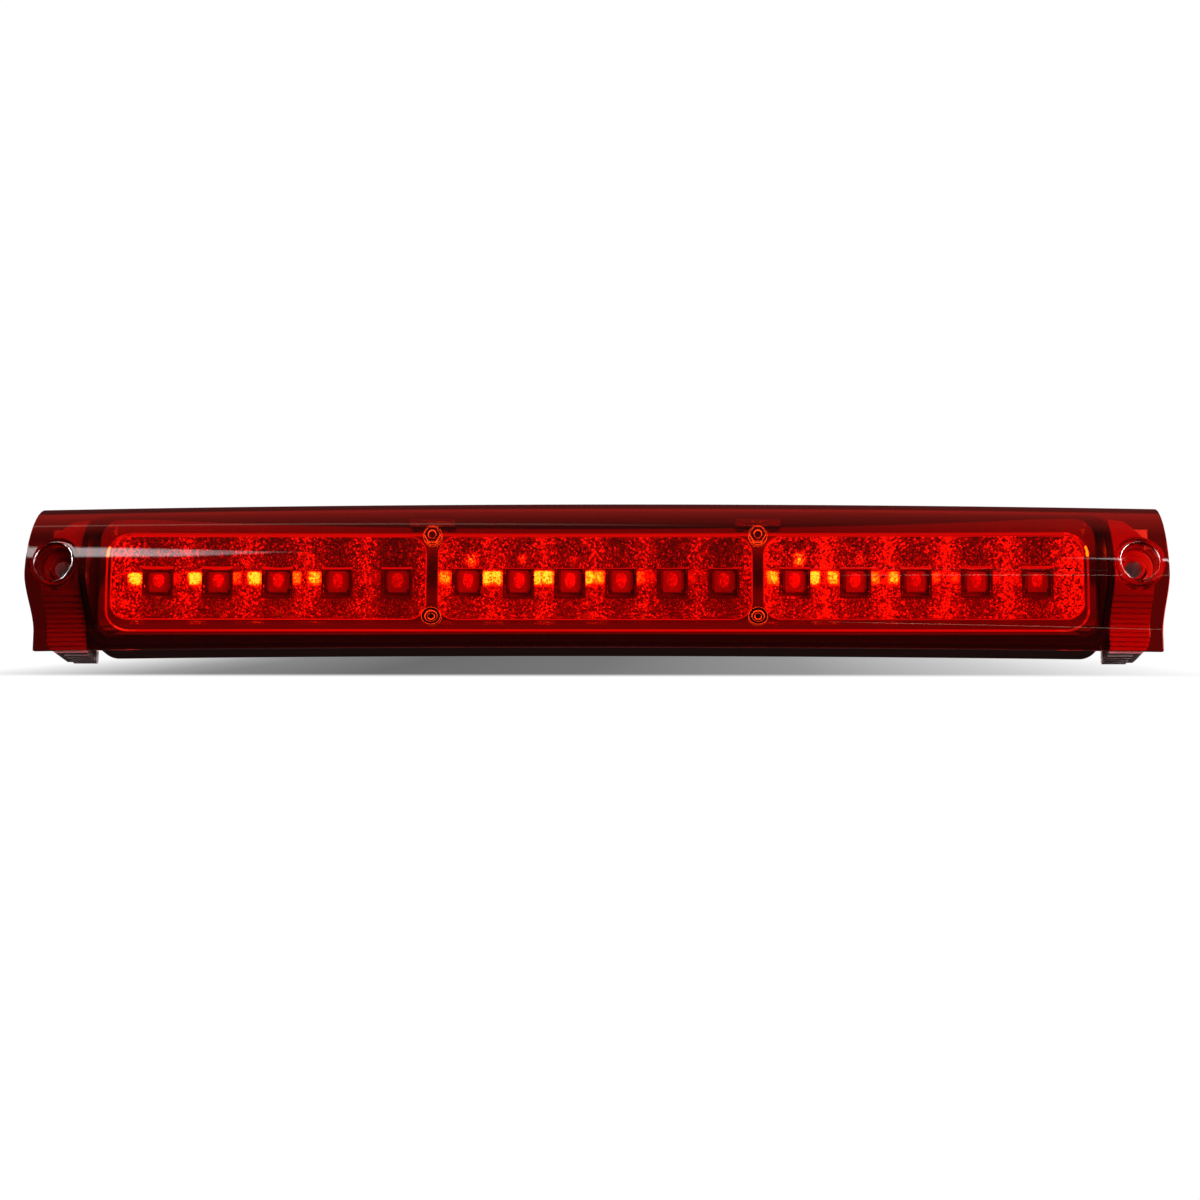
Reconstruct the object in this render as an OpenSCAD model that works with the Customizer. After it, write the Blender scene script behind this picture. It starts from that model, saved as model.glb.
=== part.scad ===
// High stop lamp: a bowed red lens over a black housing, with sixteen LEDs in three faceted trays.
// Built square to its own back face, then leaned back. X is the width, -Y the front and +Z up.

/* [Overall] */
// Width over the two lens ears
lamp_w = 400; // [392:1:410]
// Depth from the flat back face to the front of the lens, at the middle
lamp_d = 50; // [49:0.5:54]
// Radius of the bow seen from above
bow_r = 2222; // [2000:10:3000]
// How far the lamp leans back from upright, in degrees
lean = 10.5; // [0:0.5:20]

/* [Lens] */
// Wall thickness of the lens
lens_t = 2.5; // [2:0.1:2.8]
// Height of the lens top above the screw axis
lens_top = 24.7; // [24:0.1:26]
// Depth of the lens foot below the screw axis
lens_foot = 29; // [28.8:0.1:30]
// Height of the lens nose below the screw axis
nose_drop = 4; // [3:0.5:5]
// How far the lens top lies behind the nose
top_setback = 31; // [29:0.5:32]
// How far the straight foot lies behind the nose
foot_setback = 17; // [15:0.5:18]

/* [Mounting screws] */
// Distance from the middle to each screw
screw_x = 190; // [189:0.5:190]
// Radius of the counterbore for the screw head
head_bore_r = 6.65; // [6:0.05:6.9]
// Radius of the hole for the screw
screw_bore_r = 3.2; // [2.5:0.1:3.5]
// Height of the counterbore's floor above the back face
bore_floor = 26.5; // [25:0.5:28]

/* [Reflectors] */
// Height of the row of LEDs
led_z = -2.8; // [-3.5:0.1:-2]
// Spacing of the LEDs in the middle tray
mid_pitch = 18.3; // [18:0.1:18.4]
// Spacing of the LEDs in the outer trays
side_pitch = 21.5; // [21.2:0.1:21.6]
// Distance from the middle to the first LED of an outer tray
side_start = 71; // [70.5:0.1:71.5]

/* [Hidden] */
$fn = 64;
bow_fn = 256;
half_w = lamp_w / 2;
half_angle = asin(half_w / bow_r) + 0.5;
eps = 0.02;

// Housing
tub_half = 181;
tub_wall = 2.4;
tub_top = 20;
tub_foot = -28.6;
tub_back = 10;
land_half = 176;
rim_gap = 0.8;
plate_t = 2.5;
room_top = 18.2;
room_foot = -24.1;

// Trays and board, as heights above the back face
window_top = 12;
window_foot = -17.5;
bezel_front = 26;
bezel_t = 2;
tray_t = 1.7;
cup_back = 17;
board_back = 13.8;
board_t = 1.6;
divider_x = 57.7;
divider_zs = [11.9, -16.6];
windows = [[-172.5, -59.7], [-55.8, 55.8], [59.7, 172.5]];
led_xs = [
    [for (i = [0:4]) -side_start - side_pitch * (4 - i)],
    [for (i = [0:5]) mid_pitch * (i - 2.5)],
    [for (i = [0:4]) side_start + side_pitch * i]
];

// End blocks
block_x0 = 181.4;
block_x1 = 195.5;
block_foot = -30;
rib_pitch = 1.7;
rib_deep = 1.2;
foot_rib = 0.7;
foot_rib_pitch = 4.8;

// Back plate fittings
plug_x = 42;
plug_w = 17;
plug_h = 13;
plug_deep = 11;
vent_x = -70;
blade_dx = 3.2;
groove_w = 3;
groove_deep = 1.2;
wire_r = 0.6;
post_steps = [mid_pitch, side_start + side_pitch / 2, side_start + 3.5 * side_pitch];
post_xs = [for (s = [-1, 1], x = post_steps) s * x];

// Lens outline
roundness = 1.7;
upper_steps = 12;
lower_steps = 9;
roll_end = -22.5;
boss_wall = 1.95;

// Outer outline of the lens as [height above the back face, z], from its top down to its foot.
// The upper part is a soft-nosed superellipse quarter; the lower part rolls back onto a straight foot.
function lens_outer() = concat(
    [for (i = [0:upper_steps]) let (a = 90 * (1 - i / upper_steps)) [
        lamp_d - top_setback * (1 - pow(cos(a), 2 / roundness)),
        -nose_drop + (lens_top + nose_drop) * pow(sin(a), 2 / roundness)
    ]],
    [for (i = [1:lower_steps]) let (t = i / lower_steps) [
        lamp_d - foot_setback * (1 - cos(180 * t)) / 2,
        -nose_drop + (roll_end + nose_drop) * t
    ]],
    [[lamp_d - foot_setback, -lens_foot]]
);

// The same outline moved inwards by d along its normals
function inward(pts, d) = [for (i = [0:len(pts) - 1]) let (
    a = pts[max(i - 1, 0)],
    b = pts[min(i + 1, len(pts) - 1)],
    t = (b - a) / norm(b - a)
) pts[i] + d * [t[1], -t[0]]];

function back_by(pts, d) = [for (p = pts) [p[0] - d, p[1]]];
function reversed(pts) = [for (i = [len(pts) - 1:-1:0]) pts[i]];

outer_line = lens_outer();
inner_line = inward(outer_line, lens_t);

// Moves a child from the lamp's square frame to the leaning one
module leaned() {
    rotate([-lean, 0, 0]) children();
}

// Turns an outline of [height above the back face, z] along the bow
module bowed(pts) {
    translate([0, bow_r, 0])
        rotate([0, 0, -90 - half_angle])
            rotate_extrude(angle = 2 * half_angle, $fn = bow_fn)
                polygon([for (p = pts) [bow_r + p[0], p[1]]]);
}

// Everything behind the inside of the lens, moved back by gap, down to the height back at the middle
module behind_lens(gap, back, foot = -lens_foot) {
    pts = back_by(inner_line, gap);
    front = pts[len(pts) - 1][0];
    bowed(concat(pts, [[front, foot], [back, foot], [back, pts[0][1]]]));
}

// A block standing on the back face, from height h0 to h1
module block(x0, x1, z0, z1, h0, h1) {
    translate([x0, -h1, z0]) cube([x1 - x0, h1 - h0, z1 - z0]);
}

// The same with rounded corners in the front view
module round_block(x0, x1, z0, z1, h0, h1, r) {
    translate([0, -h0, 0])
        rotate([90, 0, 0])
            linear_extrude(h1 - h0) {
                translate([x0 + r, z0]) square([x1 - x0 - 2 * r, z1 - z0]);
                translate([x0, z0 + r]) square([x1 - x0, z1 - z0 - 2 * r]);
                for (x = [x0 + r, x1 - r], z = [z0 + r, z1 - r]) translate([x, z]) circle(r);
            }
}

// A round bar or cone whose axis runs from back to front
module bar(x, z, h0, h1, r0, r1) {
    translate([x, -h0, z]) rotate([90, 0, 0]) cylinder(h = h1 - h0, r1 = r0, r2 = r1);
}

module lens() {
    color([0.75, 0.02, 0.02, 0.7]) difference() {
        union() {
            intersection() {
                bowed(concat(outer_line, reversed(inner_line)));
                block(-half_w, half_w, -lens_foot - 1, lens_top + 1, -5, lamp_d + 5);
            }
            intersection() {
                bowed(concat(outer_line, [[5, -lens_foot], [5, lens_top]]));
                for (s = [-1, 1])
                    bar(s * screw_x, 0, bore_floor - 2, lamp_d, head_bore_r + boss_wall, head_bore_r + boss_wall);
            }
        }
        for (s = [-1, 1]) {
            bar(s * screw_x, 0, bore_floor, lamp_d, head_bore_r, head_bore_r);
            bar(s * screw_x, 0, bore_floor - 5, lamp_d, screw_bore_r, screw_bore_r);
        }
    }
}

module plug_hole(grow, h0, h1) {
    block(plug_x - plug_w / 2 - grow, plug_x + plug_w / 2 + grow, -plug_h / 2 - grow, plug_h / 2 + grow, h0, h1);
}

module gasket_ring(grow, h0, h1) {
    difference() {
        round_block(-land_half + 2 - grow, land_half - 2 + grow, -22.2 - grow, 14.2 + grow, h0, h1, 5 + grow);
        round_block(
            -land_half + 2 + groove_w + grow, land_half - 2 - groove_w - grow,
            -22.2 + groove_w + grow, 14.2 - groove_w - grow, h0 - 1, h1 + 1, 3
        );
    }
}

module housing() {
    color([0.06, 0.06, 0.065]) difference() {
        union() {
            difference() {
                union() {
                    intersection() {
                        behind_lens(rim_gap, tub_back);
                        round_block(-tub_half, tub_half, tub_foot, tub_top, 0, lamp_d, 8);
                    }
                    round_block(-land_half, land_half, -24, 16, 0, tub_back + 3, 6);
                }
                intersection() {
                    bowed([[tub_back + plate_t, room_foot], [lamp_d + 5, room_foot], [lamp_d + 5, room_top],
                        [tub_back + plate_t, room_top]]);
                    round_block(-tub_half + tub_wall, tub_half - tub_wall, room_foot, room_top, 0, lamp_d, 7);
                }
                round_block(-171, 171, -19, 11, plate_t + groove_deep, 30, 4);
            }
            for (s = [-1, 1], z = divider_zs)
                bar(s * divider_x, z, 2, bezel_front - bezel_t - tray_t - 0.1, 3.6, 3.4);
            for (x = post_xs) bar(x, led_z, 2, board_back, 3.2, 3);
            plug_hole(1.5, 0, 6);
        }
        plug_hole(0, -1, 7);
        bar(vent_x, 0, -1, 7, 4, 4);
        gasket_ring(0.02, -1, groove_deep);
        for (s = [-1, 1], z = divider_zs) bar(s * divider_x, z, 8, 30, 1.4, 1.4);
        for (x = post_xs) bar(x, led_z, 6, 30, 0.9, 0.9);
    }
}

// Right-hand end block; the left one is its mirror
module end_block() {
    color([0.42, 0.38, 0.38]) difference() {
        union() {
            intersection() {
                union() {
                    behind_lens(rim_gap + rib_deep, -12, block_foot + foot_rib);
                    intersection() {
                        behind_lens(rim_gap, -12);
                        for (z = [block_foot + 1.3:rib_pitch:-9])
                            block(block_x0, half_w, z, z + rib_pitch / 2, 0, lamp_d);
                    }
                }
                union() {
                    round_block(block_x0 - 12, block_x1, block_foot, 4, 0, lamp_d, 5.5);
                    rotate([90, 0, 0]) linear_extrude(lamp_d) polygon([
                        [block_x0, 0], [block_x1, 0], [block_x1, 5], [189, 14], [187, 16.5], [block_x0, 18]
                    ]);
                }
            }
            for (h = [1:foot_rib_pitch:20])
                block(block_x0, block_x1 - 5.5, block_foot, block_foot + 1, h, h + foot_rib_pitch / 2);
            block(block_x0, half_w - 1.6, -21, 19, 0, 5);
            bar(screw_x, 0, 0, bore_floor - 2.1, head_bore_r + 1.6, head_bore_r + 1.6);
        }
        block(block_x0 - 30, block_x0, -40, 40, -1, lamp_d);
        bar(screw_x, 0, bore_floor - 2.1, lamp_d, head_bore_r + 1.95, head_bore_r + 1.95);
        bar(screw_x, 0, -1, lamp_d, screw_bore_r, screw_bore_r);
    }
}

module left_end_block() {
    mirror([1, 0, 0]) end_block();
}

module right_end_block() {
    end_block();
}

module sealant_bead() {
    color([0.12, 0.12, 0.12]) intersection() {
        bowed(concat(back_by(inner_line, 0.01), reversed(back_by(inner_line, rim_gap - 0.01))));
        difference() {
            round_block(-tub_half + 0.6, tub_half - 0.6, tub_foot + 1.4, tub_top - 0.4, 0, lamp_d, 7.4);
            round_block(-tub_half + 1.8, tub_half - 1.8, tub_foot + 2.8, tub_top - 1.4, -1, lamp_d + 1, 6.2);
        }
    }
}

module bezel() {
    color([0.35, 0.02, 0.02]) difference() {
        intersection() {
            behind_lens(rim_gap, 5);
            round_block(-178.4, 178.4, -23.9, 18, bezel_front - bezel_t, bezel_front, 6.8);
        }
        for (w = windows) round_block(w[0], w[1], window_foot, window_top, 0, lamp_d, 6.5);
        for (s = [-1, 1], z = divider_zs) bar(s * divider_x, z, 0, lamp_d, 2, 2);
    }
}

// One tray: a flange under the bezel and a cone-shaped cup round each LED
module reflector(w, xs) {
    flange_h = bezel_front - bezel_t;
    color([0.8, 0.8, 0.82]) difference() {
        union() {
            round_block(w[0] - 1.4, w[1] + 1.4, window_foot - 1.2, window_top + 1.2,
                flange_h - tray_t, flange_h - 0.05, 6);
            intersection() {
                union() {
                    for (x = xs) bar(x, led_z, cup_back - 0.8, flange_h - 0.05, 8.2, 16);
                }
                round_block(w[0] - 0.6, w[1] + 0.6, window_foot - 0.6, window_top + 0.6,
                    cup_back - 1, flange_h, 6);
            }
        }
        intersection() {
            union() {
                for (x = xs) bar(x, led_z, cup_back + 0.4, flange_h + 0.5, 6.8, 15.2);
            }
            round_block(w[0] + 0.2, w[1] - 0.2, window_foot + 0.2, window_top - 0.2, cup_back, flange_h + 1, 6);
        }
        for (x = xs) block(x - 4.9, x + 4.9, led_z - 4.9, led_z + 4.9, 0, lamp_d);
        for (s = [-1, 1], z = divider_zs) bar(s * divider_x, z, 0, lamp_d, 2, 2);
    }
}

module left_reflector() {
    reflector(windows[0], led_xs[0]);
}

module center_reflector() {
    reflector(windows[1], led_xs[1]);
}

module right_reflector() {
    reflector(windows[2], led_xs[2]);
}

module circuit_board() {
    color([0.1, 0.32, 0.16]) difference() {
        round_block(-168, 168, -12.8, 8.2, board_back, board_back + board_t, 2);
        for (x = post_xs) bar(x, led_z, 0, lamp_d, 1.3, 1.3);
    }
}

// LED packages on the front of the board
module led_row(xs) {
    front = board_back + board_t;
    color([0.9, 0.88, 0.8]) for (x = xs) difference() {
        union() {
            block(x - 3.3, x + 3.3, led_z - 3.3, led_z + 3.3, front, front + 1.5);
            for (s = [-1, 1])
                block(x + s * 3.7 - 0.4, x + s * 3.7 + 0.4, led_z - 2.4, led_z + 2.4, front, front + 0.3);
        }
        bar(x, led_z, front + 0.8, front + 2, 2.1, 2.5);
    }
}

// The clear dome cast into each package
module dome_row(xs) {
    base = board_back + board_t + 0.8;
    color([1, 0.75, 0.3, 0.8]) for (x = xs) {
        bar(x, led_z, base, base + 0.7, 2, 2);
        intersection() {
            translate([x, -base - 0.7, led_z]) sphere(2);
            bar(x, led_z, base + 0.7 - eps, base + 3, 2.2, 2.2);
        }
    }
}

module left_leds() {
    led_row(led_xs[0]);
}

module center_leds() {
    led_row(led_xs[1]);
}

module right_leds() {
    led_row(led_xs[2]);
}

module left_led_domes() {
    dome_row(led_xs[0]);
}

module center_led_domes() {
    dome_row(led_xs[1]);
}

module right_led_domes() {
    dome_row(led_xs[2]);
}

module resistors() {
    color([0.08, 0.08, 0.08]) for (x = [-120, -80, -20, -8, 80, 120])
        block(x - 1.6, x + 1.6, 4, 5.6, board_back - 0.6, board_back);
}

module diode() {
    color([0.15, 0.15, 0.16]) {
        block(14, 18.6, 4, 6.6, board_back - 2.2, board_back - 0.3);
        block(13.2, 14.6, 4.6, 6, board_back - 0.9, board_back);
        block(18, 19.4, 4.6, 6, board_back - 0.9, board_back);
    }
}

module capacitor() {
    color([0.75, 0.75, 0.78]) {
        bar(8, -9, board_back - 0.8, board_back, 3.4, 3.4);
        bar(8, -9, board_back - 7, board_back - 0.8 + eps, 3.1, 3.1);
    }
}

// Its children on both dividers, on the bezel's face, with +Z towards the lens
module at_dividers(z) {
    for (s = [-1, 1]) translate([s * divider_x, -bezel_front, z]) rotate([90, 0, 0]) children();
}

module upper_divider_screws() {
    color([0.7, 0.7, 0.72]) at_dividers(divider_zs[0]) {
        cylinder(h = 0.6, r = 3.3);
        difference() {
            translate([0, 0, 0.6 - eps]) cylinder(h = 2, r = 2.9, $fn = 6);
            translate([0, 0, 1.8]) cylinder(h = 2, r = 1.4);
        }
        translate([0, 0, -13]) cylinder(h = 13 + eps, r = 1.39);
    }
}

module lower_divider_screws() {
    color([0.2, 0.18, 0.18]) at_dividers(divider_zs[1]) {
        difference() {
            cylinder(h = 2.4, r = 3.4);
            translate([0, 0, 1]) cylinder(h = 2, r = 2.2);
        }
        cylinder(h = 2.2, r = 1.2);
        translate([0, 0, -13]) cylinder(h = 13 + eps, r = 1.39);
    }
}

module board_screws() {
    front = board_back + board_t;
    color([0.6, 0.6, 0.62]) for (x = post_xs) {
        bar(x, led_z, front, front + 0.4, 1.6, 1.6);
        bar(x, led_z, front + 0.4 - eps, front + 0.8, 1.6, 1.1);
        bar(x, led_z, 8, front + eps, 0.89, 0.89);
    }
}

module reflector_clips() {
    color([0.72, 0.72, 0.74]) for (s = [-1, 1]) {
        block(s * divider_x - 8, s * divider_x + 8, 15.2, 17.2, bezel_front, bezel_front + 0.8);
        block(s * divider_x - 8, s * divider_x + 8, 16.4, 17.2, bezel_front, bezel_front + 2.2);
        for (t = [-1, 1]) block(s * divider_x + t * 6 - 1.4, s * divider_x + t * 6 + 1.4, 15.2, 17.2,
            bezel_front, bezel_front + 1.8);
    }
}

module connector_shell() {
    color([0.1, 0.1, 0.11]) difference() {
        plug_hole(-0.05, 0, plug_deep + 1);
        plug_hole(-1.3, -1, plug_deep);
        for (s = [-1, 1])
            block(plug_x + s * blade_dx - 0.45, plug_x + s * blade_dx + 0.45, -1.45, 1.45, 0, 20);
    }
}

module connector_terminals() {
    color([0.82, 0.68, 0.35]) for (s = [-1, 1])
        block(plug_x + s * blade_dx - 0.4, plug_x + s * blade_dx + 0.4, -1.4, 1.4, 3, plug_deep + 1.9);
}

// A lead in two straight runs: from a blade along the back of the board, then into the board
module lead(x0, x1, z) {
    h = plug_deep + 1.1 + wire_r;
    translate([min(x0, x1), -h, z]) rotate([0, 90, 0]) cylinder(h = abs(x1 - x0), r = wire_r);
    translate([x1, -h, z]) sphere(wire_r);
    bar(x1, z, h, board_back, wire_r, wire_r);
}

module supply_lead() {
    color([0.7, 0.05, 0.05]) lead(plug_x - blade_dx - 0.4, plug_x - 11.5, 0.7);
}

module ground_lead() {
    color([0.05, 0.05, 0.05]) lead(plug_x + blade_dx + 0.4, plug_x + 11.5, 0.7);
}

module vent_plug() {
    color([0.2, 0.2, 0.21]) {
        difference() {
            bar(vent_x, 0, 0.3, 4.5, 3.98, 3.98);
            bar(vent_x, 0, -1, 1.2, 2.6, 2.6);
        }
        for (a = [0, 90]) translate([vent_x, -0.8, 0]) rotate([0, a, 0])
            block(-2.7, 2.7, -0.4, 0.4, -0.4, 0.5);
    }
}

module back_gasket() {
    color([0.16, 0.16, 0.17]) gasket_ring(0, 0, groove_deep);
}

leaned() lens();
leaned() housing();
leaned() left_end_block();
leaned() right_end_block();
leaned() sealant_bead();
leaned() bezel();
leaned() left_reflector();
leaned() center_reflector();
leaned() right_reflector();
leaned() circuit_board();
leaned() left_leds();
leaned() center_leds();
leaned() right_leds();
leaned() left_led_domes();
leaned() center_led_domes();
leaned() right_led_domes();
leaned() resistors();
leaned() diode();
leaned() capacitor();
leaned() upper_divider_screws();
leaned() lower_divider_screws();
leaned() board_screws();
leaned() reflector_clips();
leaned() connector_shell();
leaned() connector_terminals();
leaned() supply_lead();
leaned() ground_lead();
leaned() vent_plug();
leaned() back_gasket();
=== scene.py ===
"""A high stop lamp: a bowed red lens over a black housing, with sixteen LEDs in three faceted trays."""

import math
import random

import bmesh
import bpy
from mathutils import Matrix, Vector


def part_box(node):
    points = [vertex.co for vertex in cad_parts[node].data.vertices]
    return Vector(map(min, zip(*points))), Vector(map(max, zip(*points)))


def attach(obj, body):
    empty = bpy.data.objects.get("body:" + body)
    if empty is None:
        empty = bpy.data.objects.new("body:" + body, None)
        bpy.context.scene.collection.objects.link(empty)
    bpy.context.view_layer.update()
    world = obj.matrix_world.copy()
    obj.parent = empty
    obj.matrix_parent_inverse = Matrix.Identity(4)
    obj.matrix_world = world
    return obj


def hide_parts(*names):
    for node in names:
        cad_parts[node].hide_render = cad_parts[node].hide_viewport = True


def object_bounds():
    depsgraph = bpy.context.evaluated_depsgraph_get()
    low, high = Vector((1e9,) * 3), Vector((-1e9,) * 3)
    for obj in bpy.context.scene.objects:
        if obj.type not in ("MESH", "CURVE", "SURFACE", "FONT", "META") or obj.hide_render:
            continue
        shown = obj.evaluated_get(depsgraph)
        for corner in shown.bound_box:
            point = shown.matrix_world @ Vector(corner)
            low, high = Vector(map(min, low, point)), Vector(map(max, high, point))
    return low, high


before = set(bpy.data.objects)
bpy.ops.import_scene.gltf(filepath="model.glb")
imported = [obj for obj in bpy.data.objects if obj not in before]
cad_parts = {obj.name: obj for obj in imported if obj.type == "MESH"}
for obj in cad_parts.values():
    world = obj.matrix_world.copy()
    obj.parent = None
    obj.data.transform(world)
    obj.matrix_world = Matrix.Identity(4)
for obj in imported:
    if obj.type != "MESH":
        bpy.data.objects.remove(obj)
cad_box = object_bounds()

bl_info = {
    "name": "High stop lamp",
    "version": (1, 0, 0),
    "blender": (4, 5, 0),
    "location": "View3D > Sidebar > Stop Lamp",
    "description": "Builds a bowed high stop lamp piece by piece",
    "category": "Add Mesh",
}

MM = 0.001


# ---------------------------------------------------------------- sizes and colours


def length(name, description, default_mm):
    """A length property whose default is given in millimetres."""
    return bpy.props.FloatProperty(
        name=name, description=description, default=default_mm * MM, unit="LENGTH", subtype="DISTANCE",
        precision=5,
    )


def colour(name, description, default):
    """A colour property."""
    return bpy.props.FloatVectorProperty(
        name=name, description=description, default=default, size=3, min=0.0, max=1.0, subtype="COLOR"
    )


class LampSizes(bpy.types.PropertyGroup):
    """Sizes in the lamp's own square frame, before it leans back."""

    lean: bpy.props.FloatProperty(
        name="Lean", description="How far the lamp leans back", default=math.radians(10.5), subtype="ANGLE"
    )
    bow_radius: length("Bow radius", "Radius of the bow seen from above", 2222)
    depth: length("Depth", "From the back face to the lens nose, at the middle", 50)
    lens_wall: length("Lens wall", "Thickness of the red lens", 2.3)
    lens_top: length("Lens top", "Height of the lens top above the screw axis", 24.7)
    lens_foot: length("Lens foot", "Depth of the lens foot below the screw axis", 29)
    nose_drop: length("Nose drop", "Height of the nose below the screw axis", 4)
    top_setback: length("Top setback", "How far the lens top lies behind the nose", 31)
    foot_setback: length("Foot setback", "How far the foot lies behind the nose", 17)
    roll_end: length("Roll end", "Where the roll under the nose meets the straight foot", 22.5)
    screw_x: length("Screw position", "From the middle to each screw", 190)
    bore_radius: length("Counterbore radius", "Radius of the well for a screw head", 6.65)
    screw_radius: length("Screw hole radius", "Radius of the hole in the lens ear", 3.25)
    bore_floor: length("Counterbore floor", "Height of the well's floor over the back face", 26.5)
    led_z: length("LED height", "Height of the LED row", -2.8)
    mid_pitch: length("Middle pitch", "Spacing of the middle tray's LEDs", 18.3)
    side_pitch: length("Side pitch", "Spacing of the side trays' LEDs", 21.5)
    side_start: length("Side start", "From the middle to a side tray's first LED", 71)
    cup_low: length("Cup floor", "Height of the cups' floor over the back face", 17.3)
    cup_high: length("Cup rim", "Height of the cups' rim over the back face", 23.2)
    cup_radius: length("Cup radius", "Radius at which a cup reaches its rim", 15.5)
    window_half: length("LED window", "Half the side of the square round an LED", 4.9)
    window_top: length("Tray top", "Upper edge of the tray windows", 12)
    window_foot: length("Tray foot", "Lower edge of the tray windows", -17.5)
    bezel_front: length("Bezel front", "Height of the bezel's face over the back face", 26)
    board_front: length("Board front", "Height of the board's face over the back face", 15.4)


class LampColours(bpy.types.PropertyGroup):
    """Colours of the finishes."""

    lens: colour("Lens", "Tint of the red lens", (0.86, 0.03, 0.015))
    housing: colour("Housing", "Black moulding", (0.010, 0.009, 0.010))
    block: colour("End block", "Grey ribbed moulding", (0.50, 0.40, 0.41))
    bezel: colour("Bezel", "Metallised frame", (0.62, 0.60, 0.60))
    reflector: colour("Reflector", "Metallised facets", (0.30, 0.29, 0.29))


def sizes():
    return bpy.context.scene.lamp_sizes


def colours():
    return bpy.context.scene.lamp_colours


# where each tray's window starts and ends along the lamp
TRAYS = {
    "left": (-172.5 * MM, -59.7 * MM),
    "center": (-55.8 * MM, 55.8 * MM),
    "right": (59.7 * MM, 172.5 * MM),
}
WINDOW_CORNER = 6.5 * MM
LED_BRIGHTNESS = {
    "left": (1.0, 0.95, 0.8, 0.3, 0.12),
    "center": (0.7, 0.95, 1.0, 0.6, 0.25, 0.06),
    "right": (0.9, 0.7, 0.35, 0.2, 0.25),
}
# painted light: how strongly the facets to the left of, to the right of and above each LED are painted bright
PAINTED_FACET_LIGHT = {
    "left": ((1.0, 0.45, 0.3), (1.0, 0.6, 0.2), (1.0, 0.7, 0.15), (0.85, 0.2, 0.1), (0.3, 0.1, 0.0)),
    "center": (
        (0.7, 0.95, 0.7), (0.9, 0.95, 0.5), (0.9, 0.85, 0.4), (0.75, 0.6, 0.3), (0.4, 0.4, 0.1),
        (0.3, 0.2, 0.0),
    ),
    "right": ((0.8, 1.0, 0.8), (0.8, 0.7, 0.5), (0.75, 0.55, 0.3), (0.5, 0.4, 0.1), (0.4, 0.35, 0.0)),
}


def led_positions(tray):
    """Middle of each LED of a tray, along the lamp."""
    s = sizes()
    if tray == "center":
        return [s.mid_pitch * (i - 2.5) for i in range(6)]
    row = [s.side_start + s.side_pitch * i for i in range(5)]
    return row if tray == "right" else [-x for x in reversed(row)]


# ---------------------------------------------------------------- shapes


# exponent of the lens's upper curve: 2 would be an ellipse
BULGE = 1.7


def lens_height(z):
    """Height of the lens's outside over the back face, at the middle of the lamp."""
    s = sizes()
    if z >= -s.nose_drop:
        u = min((z + s.nose_drop) / (s.lens_top + s.nose_drop), 1.0)
        return s.depth - s.top_setback * (1 - (1 - u**BULGE) ** (1 / BULGE))
    t = min((-s.nose_drop - z) / (s.roll_end - s.nose_drop), 1.0)
    return s.depth - s.foot_setback * (1 - math.cos(math.pi * t)) / 2


def bow_back(x, height):
    """The y of a point that stands at that height on the bow."""
    radius = sizes().bow_radius + height
    return sizes().bow_radius - math.sqrt(radius * radius - x * x)


def lean_matrix():
    return Matrix.Rotation(-sizes().lean, 4, "X")


def put(name, bm, material, nodes, sharp=None, leaned=True):
    """Makes a bmesh a finished piece that stands for CAD nodes."""
    if leaned:
        bmesh.ops.transform(bm, matrix=lean_matrix(), verts=bm.verts)
    mesh = bpy.data.meshes.new(name)
    bm.to_mesh(mesh)
    bm.free()
    piece = bpy.data.objects.new(name, mesh)
    bpy.context.scene.collection.objects.link(piece)
    for m in material if isinstance(material, (list, tuple)) else [material]:
        mesh.materials.append(m)
    if sharp is not None:
        mesh.shade_smooth()
        mesh.set_sharp_from_angle(angle=math.radians(sharp))
    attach(piece, "root")
    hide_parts(*nodes)
    return piece


def round_edges(piece, width, segments=2, angle=40, harden=True):
    """Rounds the sharp edges of a piece with a live bevel."""
    bevel = piece.modifiers.new("rounded_edges", "BEVEL")
    bevel.width = width
    bevel.segments = segments
    bevel.limit_method = "ANGLE"
    bevel.angle_limit = math.radians(angle)
    bevel.harden_normals = harden
    bevel.use_clamp_overlap = True


def thicken(piece, wall, even=True):
    """Gives an open surface its wall, behind the side that its normals point to."""
    wall_maker = piece.modifiers.new("wall", "SOLIDIFY")
    wall_maker.thickness = wall
    wall_maker.offset = -1
    wall_maker.use_even_offset = even
    wall_maker.use_quality_normals = True


def dressed(node, name, material, width=0.0, segments=2, sharp=30, angle=40):
    """A copy of a CAD node with merged faces, rounded edges and a finish."""
    bm = bmesh.new()
    bm.from_mesh(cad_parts[node].data)
    bmesh.ops.remove_doubles(bm, verts=bm.verts, dist=0.002 * MM)
    bmesh.ops.dissolve_limit(bm, angle_limit=math.radians(0.5), verts=bm.verts, edges=bm.edges)
    piece = put(name, bm, material, [node], sharp=sharp, leaned=False)
    if width:
        round_edges(piece, width, segments, angle)
    return piece


def rounded_face(bm, x0, x1, z0, z1, radius, y, steps=7):
    """A flat face with rounded corners that looks to the front."""
    made = bmesh.ops.create_grid(bm, x_segments=1, y_segments=1, size=1.0)["verts"]
    for v in made:
        v.co = Vector((x0 if v.co.x < 0 else x1, y, z0 if v.co.y < 0 else z1))
    bmesh.ops.bevel(
        bm, geom=made, offset=radius, segments=steps, profile=0.5, affect="VERTICES", material=-1
    )


# ---------------------------------------------------------------- shader groups


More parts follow.
